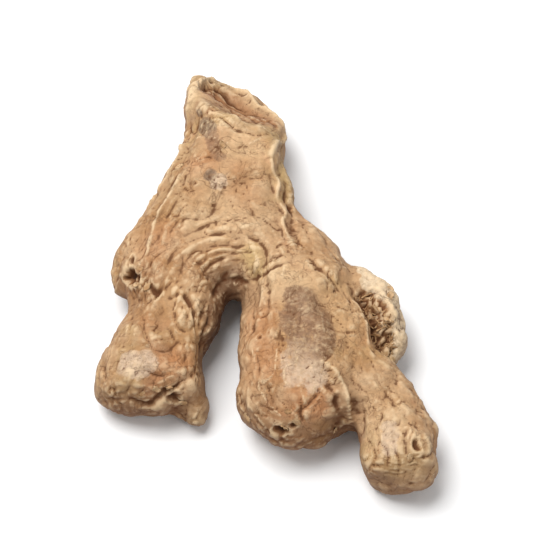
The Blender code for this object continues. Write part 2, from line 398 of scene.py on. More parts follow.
# %% Ridges and grooves
OLD_RIM = [(0.275, 0.87), (0.28, 0.91), (0.29, 0.935), (0.31, 0.962), (0.36, 0.98), (0.41, 0.962),
           (0.46, 0.93), (0.52, 0.885), (0.555, 0.84)]
MARKS = [
    # (width mm, height mm, spots)
    # the old end: its rolled far rim, the furrow inside it, and two finer lines
    (0.55, 1.25, OLD_RIM),
    (0.55, -0.9, [(0.295, 0.92), (0.325, 0.945), (0.365, 0.95), (0.40, 0.93), (0.445, 0.90)]),
    (0.45, -0.5, [(0.42, 0.92), (0.46, 0.895), (0.50, 0.865), (0.53, 0.83)]),
    (0.4, -0.5, [(0.34, 0.925), (0.38, 0.925), (0.42, 0.905), (0.46, 0.88), (0.50, 0.85)]),
    (0.4, -0.55, [(0.33, 0.90), (0.37, 0.905), (0.41, 0.885), (0.455, 0.86), (0.49, 0.835)]),
    (0.4, -0.45, [(0.33, 0.88), (0.38, 0.88), (0.43, 0.855), (0.47, 0.835)]),
    (0.6, 0.5, [(0.30, 0.85), (0.36, 0.85), (0.40, 0.825), (0.45, 0.805), (0.50, 0.80)]),
    (0.4, -0.5, [(0.31, 0.825), (0.355, 0.82), (0.40, 0.795), (0.44, 0.785), (0.48, 0.78), (0.53, 0.80)]),
    (0.7, 1.0, [(0.545, 0.86), (0.555, 0.82), (0.54, 0.785), (0.525, 0.77)]),
    (0.5, 0.45, [(0.275, 0.89), (0.27, 0.85), (0.26, 0.81), (0.245, 0.76)]),
    # the trunk's left edge
    (0.5, 0.9, [(0.25, 0.78), (0.225, 0.73), (0.19, 0.69), (0.14, 0.66), (0.11, 0.64)]),
    (0.6, -0.4, [(0.27, 0.76), (0.245, 0.71), (0.215, 0.675), (0.17, 0.64)]),
    (0.45, 0.8, [(0.24, 0.69), (0.215, 0.645), (0.185, 0.61), (0.165, 0.56), (0.15, 0.51), (0.13, 0.49)]),
    (0.5, -0.4, [(0.26, 0.67), (0.235, 0.63), (0.205, 0.59), (0.185, 0.54), (0.175, 0.50)]),
    # the wavy pale rib down the trunk's right side, with a dark furrow on its right
    (0.5, 0.95, [(0.525, 0.775), (0.505, 0.735), (0.51, 0.70), (0.53, 0.675), (0.53, 0.64), (0.555, 0.61),
                 (0.55, 0.58), (0.565, 0.55), (0.575, 0.52)]),
    (0.7, -0.7, [(0.53, 0.73), (0.535, 0.70), (0.555, 0.67), (0.56, 0.64), (0.58, 0.61), (0.58, 0.58),
                 (0.59, 0.55), (0.60, 0.52)]),
    # arcs round the fork
    (0.35, -0.35, FORK_ARCS[0]),
    (0.4, -0.4, FORK_ARCS[1]),
    (0.4, -0.45, FORK_ARCS[2]),
    (0.35, -0.3, [(0.22, 0.50), (0.28, 0.53), (0.34, 0.545), (0.42, 0.55), (0.47, 0.53)]),
    (0.35, -0.3, [(0.26, 0.44), (0.31, 0.485), (0.37, 0.505), (0.43, 0.50)]),
    (0.4, 0.25, [(0.22, 0.485), (0.29, 0.52), (0.35, 0.535), (0.42, 0.535)]),
    (0.4, 0.25, [(0.27, 0.455), (0.32, 0.50), (0.38, 0.515), (0.44, 0.505)]),
    # the tab of skin beside the fork, and the crease that runs right from it
    (0.8, 0.5, [(0.44, 0.53), (0.465, 0.505), (0.475, 0.475), (0.455, 0.455)]),
    (0.5, -0.6, [(0.43, 0.545), (0.485, 0.525), (0.50, 0.49), (0.49, 0.46)]),
    (0.55, -0.8, [(0.40, 0.455), (0.44, 0.45), (0.49, 0.455), (0.54, 0.465), (0.60, 0.475)]),
    (0.3, -0.3, [(0.53, 0.52), (0.56, 0.50), (0.60, 0.49), (0.64, 0.50)]),
    # heel bud
    (0.6, -0.7, [(0.12, 0.41), (0.17, 0.42), (0.22, 0.435)]),
    (0.7, 0.4, [(0.10, 0.44), (0.14, 0.45), (0.17, 0.445)]),
    (0.5, -0.6, [(0.15, 0.50), (0.16, 0.47), (0.15, 0.44)]),
    # left finger: the dark furrow along its right side, swirls on top, and the ledge at its end
    (1.0, -1.2, [(0.385, 0.465), (0.355, 0.43), (0.335, 0.385), (0.325, 0.34), (0.325, 0.29)]),
    (0.6, 0.4, [(0.33, 0.45), (0.30, 0.40), (0.285, 0.36), (0.285, 0.32)]),
    (0.4, -0.6, [(0.215, 0.40), (0.25, 0.405), (0.28, 0.385), (0.29, 0.35), (0.27, 0.325), (0.24, 0.335),
                 (0.23, 0.365)]),
    (0.3, -0.4, [(0.245, 0.38), (0.262, 0.375), (0.27, 0.355), (0.255, 0.35)]),
    (0.35, -0.45, [(0.215, 0.33), (0.245, 0.30), (0.29, 0.305)]),
    (0.3, -0.3, [(0.06, 0.275), (0.12, 0.285), (0.17, 0.30), (0.22, 0.31)]),
    (0.7, -0.85, [(0.03, 0.205), (0.08, 0.19), (0.15, 0.183), (0.20, 0.195), (0.24, 0.205), (0.27, 0.225),
                  (0.31, 0.25)]),
    (0.8, 0.3, [(0.035, 0.225), (0.08, 0.21), (0.15, 0.205), (0.20, 0.215), (0.25, 0.235)]),
    (0.5, -0.6, [(0.235, 0.20), (0.235, 0.18), (0.245, 0.165)]),
    # lobe
    (0.5, -0.6, [(0.62, 0.485), (0.65, 0.46), (0.685, 0.44), (0.71, 0.42), (0.76, 0.405)]),
    (0.35, -0.4, [(0.67, 0.325), (0.69, 0.315), (0.725, 0.31), (0.77, 0.32)]),
    (0.3, -0.3, [(0.69, 0.385), (0.73, 0.37), (0.775, 0.37)]),
    (0.8, 0.6, [(0.75, 0.42), (0.775, 0.375), (0.79, 0.33), (0.81, 0.28), (0.85, 0.245)]),
    (0.7, -0.7, [(0.775, 0.425), (0.80, 0.38), (0.815, 0.335), (0.835, 0.295)]),
    (0.5, 0.4, [(0.475, 0.45), (0.49, 0.41), (0.485, 0.37), (0.475, 0.33)]),
    (0.45, -0.5, [(0.50, 0.44), (0.51, 0.40), (0.505, 0.36), (0.49, 0.32)]),
    (0.4, -0.4, [(0.455, 0.42), (0.465, 0.37), (0.455, 0.32), (0.43, 0.28)]),
    (0.45, -0.5, [(0.44, 0.27), (0.47, 0.25), (0.475, 0.21), (0.46, 0.18)]),
    (0.4, -0.45, [(0.50, 0.19), (0.52, 0.155), (0.55, 0.135)]),
    (0.4, -0.45, [(0.60, 0.165), (0.60, 0.13), (0.62, 0.105)]),
    (0.4, -0.45, [(0.655, 0.18), (0.63, 0.15), (0.58, 0.13)]),
    (0.5, -0.5, [(0.50, 0.105), (0.57, 0.085), (0.65, 0.09), (0.70, 0.105)]),
    # the ridge between the lobe and the right finger, and the furrow beside it
    (0.6, 1.1, [(0.66, 0.235), (0.70, 0.215), (0.73, 0.18), (0.745, 0.135), (0.755, 0.09),
                (0.765, 0.05)]),
    (0.8, -0.8, [(0.67, 0.195), (0.70, 0.17), (0.715, 0.13), (0.72, 0.09)]),
    (0.35, -0.25, [(0.74, 0.215), (0.775, 0.18), (0.785, 0.13)]),
    # right finger
    (0.35, -0.35, [(0.82, 0.215), (0.86, 0.17), (0.885, 0.125)]),
    (0.35, -0.35, [(0.87, 0.105), (0.90, 0.115), (0.95, 0.105)]),
    (0.35, -0.4, [(0.905, 0.10), (0.90, 0.065), (0.915, 0.035)]),
    (0.35, -0.2, [(0.80, 0.045), (0.83, 0.03), (0.88, 0.022), (0.93, 0.03), (0.96, 0.045)]),
    (0.35, -0.4, [(0.825, 0.075), (0.85, 0.05), (0.85, 0.02)]),
    (0.3, -0.4, [(0.87, 0.055), (0.885, 0.03), (0.88, 0.005)]),
    (0.3, -0.35, [(0.925, 0.045), (0.93, 0.02), (0.915, 0.0)]),
    (0.3, -0.35, [(0.79, 0.09), (0.815, 0.055), (0.81, 0.03)]),
    (0.5, 0.35, [(0.955, 0.09), (0.965, 0.06), (0.955, 0.035)]),
    (0.5, 0.6, [(0.94, 0.05), (0.947, 0.042)]),
    # side bud: the lip round its broken, netted inner face
    (0.7, 0.8, [(0.785, 0.46), (0.82, 0.44), (0.85, 0.41), (0.875, 0.37), (0.89, 0.33)]),
    (0.8, -0.9, [(0.775, 0.44), (0.80, 0.40), (0.82, 0.36), (0.84, 0.31)]),
]
# how uneven the edge and the height are, of a ridge and of a groove
RIDGE_NOISE, GROOVE_NOISE = (0.15, 0.22), (0.30, 0.38)
EDGE_SHARPNESS = 1.4
CREST_GAIN = 1.3

relief = np.zeros(count)
hollow = np.zeros(count)
crest = np.zeros(count)
for width, height, shares in MARKS:
    edge_noise, height_noise = RIDGE_NOISE if height > 0 else GROOVE_NOISE
    path = lay(shares)
    gap, which = nearest(path)
    # a mark is strongest in its middle and runs out at both ends
    fade = np.sin(np.pi * np.linspace(0.04, 0.96, len(path))) ** 0.5
    across = np.maximum(gap / (width * MM) + edge_noise * lumps_small, 0) ** EDGE_SHARPNESS
    profile = np.exp(-across) * fade[which]
    relief += profile * height * MM * (1 + height_noise * lumps_middle)
    # Deeper grooves are marked for darker painted shade.
    hollow = np.maximum(hollow, profile * min(1, -height))
    # Higher ridges are marked for paler crests, partly the skin's own pale ridges and partly painted
    # highlight.
    crest = np.maximum(crest, profile * min(1, CREST_GAIN * height))
print(len(MARKS), "ridges and grooves")

# %% Holes and pits
PITS = [
    # (u, v, radius mm, depth mm)
    (0.096, 0.469, 1.2, 1.9), (0.118, 0.458, 0.8, 1.1), (0.10, 0.505, 0.8, 0.9),
    (0.167, 0.42, 0.9, 0.6), (0.55, 0.11, 0.9, 1.4), (0.575, 0.115, 0.6, 0.8),
    (0.935, 0.06, 0.5, 1.0), (0.929, 0.072, 0.35, 0.7), (0.233, 0.19, 0.9, 1.2),
    (0.29, 0.94, 0.7, 1.2), (0.33, 0.965, 0.6, 0.9), (0.37, 0.965, 0.5, 0.7), (0.278, 0.92, 0.5, 1.3),
    (0.82, 0.385, 0.6, 1.0), (0.845, 0.33, 0.7, 1.2),
    (0.334, 0.677, 0.7, 0.2), (0.30, 0.84, 0.6, 0.4), (0.31, 0.80, 0.9, 0.25),
    (0.29, 0.665, 0.35, 0.4), (0.375, 0.655, 0.35, 0.4), (0.34, 0.615, 0.4, 0.4),
    (0.31, 0.60, 0.4, 0.3), (0.70, 0.47, 0.4, 0.4), (0.48, 0.30, 0.5, 0.5),
]
PIT_UNEVEN_EDGE = 0.4
PIT_SHARPNESS = 2.6
LIP_HEIGHT, LIP_PLACE, LIP_WIDTH = 0.15, 1.5, 0.4

for u, v, radius, depth in PITS:
    gap = np.linalg.norm(points - spot(u, v), axis=1) / (radius * MM)
    gap = np.maximum(gap + PIT_UNEVEN_EDGE * lumps_small, 0)
    bowl = np.exp(-gap ** PIT_SHARPNESS)
    relief -= bowl * depth * MM
    relief += np.exp(-((gap - LIP_PLACE) / LIP_WIDTH) ** 2) * depth * LIP_HEIGHT * MM
    # Deeper pits are marked for darker painted shade.
    hollow = np.maximum(hollow, bowl * min(1, 0.35 + 0.6 * depth))
print(len(PITS), "holes and pits")

# %% Broad swellings and hollows
SWELLINGS = [
    # (height mm, radius mm, spots)
    (-0.7, 4.0, [(0.32, 0.93), (0.38, 0.925), (0.45, 0.885), (0.50, 0.85)]),
    (-0.6, 2.8, [(0.40, 1.0), (0.46, 0.975), (0.53, 0.93), (0.58, 0.88)]),
    (-0.7, 4.5, [(0.33, 0.76), (0.40, 0.72), (0.44, 0.67)]),
    (-0.5, 3.5, [(0.57, 0.72), (0.60, 0.62)]),
    (0.9, 3.5, [(0.255, 0.355)]), (0.4, 4.0, [(0.12, 0.24)]),
    (-0.5, 2.5, [(0.20, 0.40), (0.19, 0.34), (0.23, 0.30)]),
    (-0.6, 3.0, [(0.20, 0.29), (0.26, 0.27)]),
    (-0.5, 3.5, [(0.66, 0.40), (0.70, 0.33)]), (0.5, 4.0, [(0.72, 0.30)]),
    (0.5, 4.0, [(0.59, 0.17)]), (0.4, 3.0, [(0.52, 0.30)]),
    (-0.5, 3.0, [(0.86, 0.20), (0.84, 0.14)]), (0.4, 3.0, [(0.90, 0.09)]),
    (0.7, 2.5, [(0.83, 0.46), (0.88, 0.43), (0.92, 0.38)]),
]
for height, radius, shares in SWELLINGS:
    relief += patch(shares, radius) * height * MM
print(len(SWELLINGS), "swellings")

# %% The side bud's broken, netted face
BROKEN_FACE = [(0.80, 0.415), (0.825, 0.375), (0.845, 0.335), (0.86, 0.30)]
BROKEN_RADIUS = 3.4
BROKEN_DEPTH = 0.4 * MM
NET_DEPTH = 1.3 * MM

netted = soft_step(patch(BROKEN_FACE, BROKEN_RADIUS), 0.35, 14)
netting = creased(noise(9), crease_width=0.55)
relief -= netted * (1 - netting) * NET_DEPTH + netted * BROKEN_DEPTH
hollow = np.maximum(hollow, netted * (1 - netting))
print("netted face covers", round(float((netted > 0.5).mean()), 3), "of the skin")

# %% [markdown]
# ## Where the skin is smooth and where it is rough
#
# The skin isn't wrinkled equally everywhere. Below the rim the trunk is smooth, the neck of the left
# finger is tightly folded, and the end faces and buds are crumpled. Soft round patches say how much.

# %% Roughness patches
fold_amount = 0.35 + 0.4 * patchy
wrinkle_amount = 0.25 + 0.55 * (1 - patchy)
set_patches(fold_amount, [
    ([(0.36, 0.76), (0.45, 0.77)], 12, 0.15),
    ([(0.22, 0.50), (0.33, 0.53), (0.44, 0.56)], 9, 0.5),
    ([(0.26, 0.45), (0.20, 0.36)], 8, 0.8),
    ([(0.60, 0.42), (0.58, 0.24)], 16, 0.2),
    ([(0.76, 0.27), (0.84, 0.18)], 7, 0.3),
    ([(0.56, 0.12), (0.68, 0.11)], 7, 0.6),
    ([(0.88, 0.08), (0.88, 0.04)], 5, 0.2),
    ([(0.82, 0.02), (0.94, 0.02)], 4, 0.6),
    (OLD_RIM, 5, 0.15),
])
set_patches(wrinkle_amount, [
    ([(0.82, 0.03), (0.94, 0.03)], 5, 0.9),
    (OLD_RIM, 3, 0.15),
    ([(0.36, 0.90), (0.48, 0.84)], 3, 0.7),
    ([(0.38, 0.77), (0.45, 0.77)], 9, 0.3),
    ([(0.10, 0.25), (0.16, 0.26)], 7, 0.4),
    ([(0.60, 0.40), (0.58, 0.24)], 13, 0.35),
    ([(0.09, 0.47), (0.16, 0.44)], 7, 0.9),
    ([(0.80, 0.41), (0.87, 0.31)], 6, 1.3),
    ([(0.05, 0.18), (0.25, 0.17)], 6, 0.9),
    ([(0.55, 0.10), (0.66, 0.10)], 7, 0.8),
    ([(0.24, 0.50), (0.36, 0.55), (0.46, 0.56)], 9, 0.8),
])
print("mean fold", round(fold_amount.mean(), 2), "mean wrinkle", round(wrinkle_amount.mean(), 2))

# %% [markdown]
# ## Raising the relief
#
# A Geometry Nodes tree moves every point along its normal, first by the marks and folds and then,
# along the new normals, by the finer wrinkles. Its depths are inputs, so that a smoother or older
# root is one number away. Real points move, so the outline and the shadows are wrinkled too.

# %% Helpers for building node trees
def put(tree, kind, inputs=None, **settings):
    """Adds a node, makes its settings, and joins or fills its inputs."""
    made = tree.nodes.new(kind)
    for name, value in settings.items():
        setattr(made, name, value)
    for socket, value in (inputs or {}).items():
        if isinstance(value, bpy.types.NodeSocket):
            tree.links.new(value, made.inputs[socket])
        else:
            made.inputs[socket].default_value = value
    return made


def store(name, values):
    """Writes one number for each point into the skin's mesh."""
    written = mesh.attributes.new(name, "FLOAT", "POINT")
    written.data.foreach_set("value", values.astype(np.float32))


def geometry_tree(name, numbers):
    """An empty Geometry Nodes tree with named number inputs and a material input."""
    made = bpy.data.node_groups.new(name, "GeometryNodeTree")
    made.interface.new_socket("Geometry", in_out="INPUT", socket_type="NodeSocketGeometry")
    for label in numbers:
        made.interface.new_socket(label, in_out="INPUT", socket_type="NodeSocketFloat")
    made.interface.new_socket("Material", in_out="INPUT", socket_type="NodeSocketMaterial")
    made.interface.new_socket("Geometry", in_out="OUTPUT", socket_type="NodeSocketGeometry")
    return made, made.nodes.new("NodeGroupInput").outputs


def finish_tree(tree, geometry, material):
    """Ends a tree in Realize Instances and Set Material."""
    real = put(tree, "GeometryNodeRealizeInstances", {0: geometry})
    painted = put(tree, "GeometryNodeSetMaterial", {"Geometry": real.outputs[0], "Material": material})
    out = tree.nodes.new("NodeGroupOutput")
    tree.links.new(painted.outputs[0], out.inputs[0])


def apply_tree(target, tree, values):
    """Puts a tree on an object with its inputs set, and returns the plain mesh that it makes."""
    modifier = target.modifiers.new(tree.name, "NODES")
    modifier.node_group = tree
    for item in tree.interface.items_tree:
        if item.in_out == "INPUT" and item.name in values:
            modifier[item.identifier] = values[item.name]
    made = plain_copy(target)
    target.modifiers.remove(modifier)
    return made


# %% The dried skin tree
skin_paint = bpy.data.materials.new("dried_ginger_skin")

store("marks", relief)
store("swell", swell)
store("cracks", cracks)
store("crests", crests)
store("folds", (fold_relief - fold_relief.mean()) * fold_amount)
store("wrinkles", (wrinkle_relief - wrinkle_relief.mean()) * wrinkle_amount)
store("net", (net_relief - net_relief.mean()) * wrinkle_amount)
store("lumps", lumps_middle + lumps_broad)

skin_tree, given = geometry_tree("dried skin", [
    "Swell height", "Fold depth", "Wrinkle depth", "Net depth", "Lump height", "Crack depth",
    "Crest height"])


def field(tree, name):
    """A number that was stored on the skin."""
    return put(tree, "GeometryNodeInputNamedAttribute", {"Name": name}, data_type="FLOAT").outputs[0]


def times(a, b):
    """a times b, in the tree that a comes from."""
    return put(a.id_data, "ShaderNodeMath", {0: a, 1: b}, operation="MULTIPLY").outputs[0]


def plus(a, b):
    """a plus b, in the tree that a comes from."""
    return put(a.id_data, "ShaderNodeMath", {0: a, 1: b}, operation="ADD").outputs[0]


def vector(how, a, b):
    """a SCALEd by b, or a and b put together by ADD or SUBTRACT."""
    other = "Scale" if how == "SCALE" else 1
    return put(a.id_data, "ShaderNodeVectorMath", {0: a, other: b}, operation=how).outputs[0]


def moved(geometry, offset):
    """The shape with every point moved by an offset."""
    return put(geometry.id_data, "GeometryNodeSetPosition", {
        "Geometry": geometry, "Offset": offset}).outputs[0]


def raise_by(geometry, height):
    """Moves every point along its normal by a height."""
    normal = put(geometry.id_data, "GeometryNodeInputNormal").outputs[0]
    return moved(geometry, vector("SCALE", normal, height))


def layers(tree, given, pairs):
    """The sum of fields, each times the input that gives its depth."""
    total = None
    for name, depth in pairs:
        layer = times(field(tree, name), given[depth])
        total = layer if total is None else plus(total, layer)
    return total


coarse = plus(field(skin_tree, "marks"), layers(skin_tree, given, [
    ("swell", "Swell height"), ("folds", "Fold depth"), ("lumps", "Lump height")]))
fine = layers(skin_tree, given, [
    ("wrinkles", "Wrinkle depth"), ("net", "Net depth"), ("cracks", "Crack depth"),
    ("crests", "Crest height")])
finish_tree(skin_tree, raise_by(raise_by(given["Geometry"], coarse), fine), given["Material"])

skin.data = mesh = apply_tree(skin, skin_tree, {
    "Swell height": 0.28 * MM, "Fold depth": 0.75 * MM, "Wrinkle depth": 0.32 * MM,
    "Net depth": 0.10 * MM, "Lump height": 0.12 * MM, "Crack depth": -0.3 * MM,
    "Crest height": 0.3 * MM, "Material": skin_paint})

LAST_SMOOTHING = 0.35
points = smooth(get_points(mesh), 1, LAST_SMOOTHING)
points[:, 2] = np.maximum(points[:, 2], low[2])
set_points(mesh, points)
outward = normals()
print("relief raised; box now, mm:", np.round((points.max(0) - points.min(0)) / MM, 1))

# %% [markdown]
# ## Reading the relief back, for colour
#
# Creases are darkened with painted shade, and ridges are made paler with painted highlight. So the
# paint needs to know which points stand proud. Each point is compared with a smoothed copy of the
# skin: above it is a ridge, below it a crease. It also needs to know where the skin turns down
# towards the table, because the lower flanks are darkened with painted shade.

# %% Proud and sunken points
FINE_RANGE = 0.22 * MM
BROAD_RANGE = 1.6 * MM
CRACK_SHARE, CREST_SHARE = 0.6, 0.25
FLANK_FACING, FLANK_STEEPNESS = 0.32, 6

smoothed = smooth(points, 5)
fine_height = ((points - smoothed) * outward).sum(1)
smoothed = smooth(smoothed, 60)
broad_height = ((points - smoothed) * outward).sum(1)
# These set painted highlight on ridges, and painted shade in creases, grooves, holes and where the skin
# faces sideways or down.
store("proud_fine", np.clip(0.5 + fine_height / FINE_RANGE, 0, 1))
store("proud_broad", np.clip(0.5 + broad_height / BROAD_RANGE, 0, 1))
store("hollow", np.clip(smooth(np.maximum(hollow, CRACK_SHARE * cracks), 1), 0, 1))
store("crest", np.clip(smooth(np.maximum(crest, CREST_SHARE * crests), 1), 0, 1))
# painted shade: skin that faces sideways or down is marked for darkening
store("flank_shade", soft_step(-outward[:, 2], -FLANK_FACING, FLANK_STEEPNESS))
print("fine height, mm:", np.round(np.percentile(fine_height, (5, 50, 95)) / MM, 3),
      "broad:", np.round(np.percentile(broad_height, (5, 50, 95)) / MM, 3))

# %% [markdown]
# ## Stains and tints
#
# The rhizome is tan, but no two parts of it are the same tan. Stains have ragged edges, where skin
# has flaked. Tints are soft glows of colour, and a few tints are painted shade: on the left finger's
# flank beside the fork, in the furrow beside the lobe's crest, and on the end faces of the left finger
# and the lobe. Both are painted onto the points as a colour and a strength, and the paint itself
# breaks up the stains' edges.

# %% Paint pots
def shade(red, green, blue):
    """A screen colour, 0 to 255 a channel, as the four linear numbers that the nodes want."""
    return [x / 12.92 if x <= 0.04045 else ((x + 0.055) / 1.055) ** 2.4
            for x in (c / 255 for c in (red, green, blue))] + [1]


def paint_layer(name, reach, entries):
    """Stores a colour and a strength for each point, from patches of (colour, radius mm, strength,
    spots). Reach is how far past its radius a patch fades."""
    colours, total, strength = np.zeros((count, 3)), np.full(count, 1e-9), np.zeros(count)
    for colour, radius, most, shares in entries:
        gap = nearest(lay(shares))[0] / (radius * MM)
        amount = eased((1 + reach - gap) / (2 * reach)) * most
        colours += (amount ** 2)[:, None] * np.array(shade(*colour)[:3])
        total += amount ** 2
        strength = np.maximum(strength, amount)
    layer = np.column_stack((colours / total[:, None], strength)).astype(np.float32)
    written = mesh.attributes.new(name, "FLOAT_COLOR", "POINT")
    written.data.foreach_set("color", layer.ravel())
    print(name, "covers", round(float((strength > 0.5).mean()), 3), "of the skin")


GREY, MAUVE, LILAC, CREAM = (114, 94, 78), (124, 92, 70), (204, 178, 152), (214, 182, 140)
UMBER, SHADE = (112, 78, 54), (92, 60, 38)
WHITE, ORANGE, YELLOW = (226, 204, 172), (178, 118, 74), (196, 166, 114)
OLIVE, BROWN, PINK, GOLD = (152, 122, 80), (128, 86, 50), (152, 104, 68), (194, 152, 104)

paint_layer("stain", 0.5, [
    (GREY, 1.9, 0.9, [(0.31, 0.81), (0.325, 0.795)]),
    (GREY, 0.9, 1.0, [(0.30, 0.845)]),
    (MAUVE, 1.6, 0.65, [(0.33, 0.775), (0.345, 0.75), (0.365, 0.73)]),
    (LILAC, 1.8, 0.8, [(0.36, 0.664)]),
    (GREY, 1.3, 1.0, [(0.334, 0.68)]),
    (LILAC, 2.6, 0.9, [(0.095, 0.255), (0.125, 0.24), (0.15, 0.25)]),
    (UMBER, 2.6, 1.0, [(0.585, 0.385), (0.61, 0.375)]),
    (MAUVE, 4.2, 1.0, [(0.60, 0.35), (0.61, 0.32)]),
    (UMBER, 2.4, 1.0, [(0.66, 0.34), (0.67, 0.30), (0.655, 0.26)]),
    (MAUVE, 3.8, 0.8, [(0.60, 0.27)]),
    (LILAC, 4.0, 0.75, [(0.59, 0.245), (0.60, 0.22), (0.63, 0.205)]),
    (LILAC, 2.0, 0.7, [(0.855, 0.10), (0.855, 0.06)]),
    (WHITE, 2.6, 1.0, [(0.80, 0.485), (0.85, 0.46), (0.89, 0.42), (0.925, 0.36), (0.935, 0.30)]),
    (WHITE, 2.4, 1.0, [(0.81, 0.455), (0.845, 0.44), (0.88, 0.40), (0.905, 0.34)]),
])
paint_layer("tint_and_shade", 1.0, [
    (YELLOW, 4.0, 0.8, [(0.54, 0.77), (0.56, 0.70)]),
    (CREAM, 4.0, 0.7, [(0.42, 0.768), (0.45, 0.75)]),
    (CREAM, 1.3, 1.0, OLD_RIM),
    (PINK, 2.8, 1.0, [(0.33, 0.925), (0.38, 0.925), (0.44, 0.89), (0.50, 0.85)]),
    (BROWN, 2.0, 0.6, [(0.32, 0.86), (0.38, 0.86), (0.45, 0.83)]),
    (CREAM, 6.0, 0.35, [(0.33, 0.62), (0.42, 0.62), (0.46, 0.68)]),
    (CREAM, 4.0, 0.35, [(0.84, 0.16), (0.86, 0.08)]),
    # painted shade: the furrow on the lower side of the lobe's crest is darkened
    (SHADE, 1.6, 0.8, [(0.695, 0.155), (0.715, 0.11), (0.72, 0.08)]),
    (ORANGE, 2.5, 0.6, [(0.33, 0.72), (0.30, 0.71)]), (ORANGE, 2.5, 0.5, [(0.42, 0.70)]),
    (ORANGE, 3.0, 0.5, [(0.20, 0.56), (0.17, 0.52)]),
    (BROWN, 8.0, 0.35, [(0.22, 0.40), (0.16, 0.28)]),
    # painted shadow: the left finger's flank beside the fork is darkened
    (SHADE, 3.4, 1.0, [(0.39, 0.45), (0.365, 0.40), (0.35, 0.34), (0.345, 0.28)]),
    (ORANGE, 3.0, 0.7, [(0.225, 0.24), (0.25, 0.26)]),
    (ORANGE, 3.0, 0.5, [(0.44, 0.64)]),
    # The first of these is painted shade with some of the finger's own brown: the left finger's end face
    # is darkened.
    (BROWN, 3.2, 0.8, [(0.03, 0.17), (0.14, 0.155), (0.24, 0.17)]), (OLIVE, 2.5, 0.9, [(0.28, 0.16)]),
    (OLIVE, 3.0, 0.7, [(0.86, 0.02), (0.94, 0.04)]),
    (CREAM, 4.0, 0.6, [(0.55, 0.43), (0.60, 0.42)]),
    (YELLOW, 2.0, 0.9, [(0.455, 0.50), (0.47, 0.47)]),
    (BROWN, 3.5, 0.7, [(0.10, 0.46), (0.15, 0.43)]),
    (ORANGE, 4.0, 0.5, [(0.50, 0.24), (0.48, 0.34)]),
    (ORANGE, 3.0, 0.8, [(0.60, 0.155), (0.66, 0.15)]),
    # painted shade with some of the lobe's own brown: the lobe's lower front is darkened
    (BROWN, 3.5, 0.8, [(0.50, 0.13), (0.58, 0.10), (0.69, 0.11)]),
    (GOLD, 6.0, 0.6, [(0.70, 0.40), (0.72, 0.30)]),
    (GOLD, 5.0, 0.5, [(0.22, 0.40), (0.28, 0.33)]),
    (BROWN, 2.2, 1.0, [(0.80, 0.415), (0.825, 0.375), (0.85, 0.32)]),
    (OLIVE, 5.0, 0.4, [(0.24, 0.74), (0.20, 0.62)]),
])

# %% [markdown]
# ## The paint
#
# The material starts from a tan, with clouds of ochre, pale, earthy, rosy and straw colours over it.
# Then come the tints and the stains, pale ridges, dark creases and fine lines and, last, the almost
# black holes. The pale ridges are painted highlight. The dark creases, the dark lower flanks and the
# darkened grooves are painted shade. The holes are their own dark brown, deepened with painted shade,
# and the fine lines and cracks are the skin's own. Dried skin is matt, with a little more shine where
# it is rubbed smooth. A fine bump adds the grain that is too small to be worth real points.

# %% Helpers for the paint
skin_paint.use_nodes = True
tree = skin_paint.node_tree
tree.nodes.clear()
place = put(tree, "ShaderNodeTexCoord").outputs["Object"]


def cloud(per_metre, detail, roughness=0.6, distortion=0.0):
    """Noise on the object's own coordinates, with so many lumps in a metre."""
    return put(tree, "ShaderNodeTexNoise", {
        "Vector": place, "Scale": per_metre, "Detail": detail, "Roughness": roughness,
        "Distortion": distortion}).outputs[0]


def between(value, start, end, low_out=0.0, high_out=1.0):
    """A smooth step: low_out up to start, high_out from end."""
    return put(tree, "ShaderNodeMapRange", {
        "Value": value, "From Min": start, "From Max": end, "To Min": low_out, "To Max": high_out},
        interpolation_type="SMOOTHSTEP").outputs[0]


def coated(under, coats):
    """A colour with coats over it, each given as (colour, where it lies, how strong it is there)."""
    for top, where, share in coats:
        under = put(tree, "ShaderNodeMix", {0: times(where, share), 6: under, 7: top},
                    data_type="RGBA").outputs[2]
    return under


def on_skin(name):
    """A colour or a number that was stored on the skin."""
    return put(tree, "ShaderNodeAttribute", attribute_name=name).outputs


# %% Clouds of colour, tints and ragged stains
TAN, OCHRE, PALE = shade(187, 149, 110), shade(168, 125, 83), shade(207, 174, 136)
EARTH, ROSY, STRAW = shade(142, 104, 66), shade(188, 132, 92), shade(186, 158, 106)
# The cream is painted highlight on ridges and the flecks in stains. The dark brown is painted shade in
# creases, grooves and on lower flanks, and also the colour of cracks, lines and specks. The hole brown is
# the holes' dark inside, deepened with painted shade.
HIGHLIGHT_AND_FLECK_CREAM, SHADE_AND_CRACK_BROWN, HOLE_BROWN = shade(230, 202, 162), shade(93, 54, 26), shade(46, 26, 12)

colour = coated(TAN, [
    (OCHRE, between(cloud(90, 5, 0.65), 0.42, 0.62), 1),
    (PALE, between(cloud(210, 4, 0.6, 0.4), 0.50, 0.68), 0.6),
    (EARTH, between(cloud(330, 5, 0.65, 0.6), 0.52, 0.70), 0.4),
    (ROSY, between(cloud(70, 4, 0.6, 0.5), 0.52, 0.68), 0.5),
    (STRAW, between(cloud(62, 4, 0.6, 0.7), 0.54, 0.68), 0.4),
])
tint_and_shade, stain = on_skin("tint_and_shade"), on_skin("stain")
edge = plus(times(cloud(260, 3, 0.5), 1.3), times(cloud(1000, 4, 0.7), 0.8))
ragged = times(between(plus(stain["Alpha"], edge), 1.44, 1.64),
               between(stain["Alpha"], 0.0, 1.0, 0.45, 1.0))
ragged = times(ragged, between(cloud(1500, 3, 0.6), 0.36, 0.56, 0.7, 1.0))
flecked = coated(stain["Color"], [
    (HIGHLIGHT_AND_FLECK_CREAM, between(cloud(800, 4, 0.65), 0.50, 0.70), 0.35),
    (SHADE_AND_CRACK_BROWN, between(cloud(1000, 4, 0.65, 0.5), 0.52, 0.72), 0.4),
])
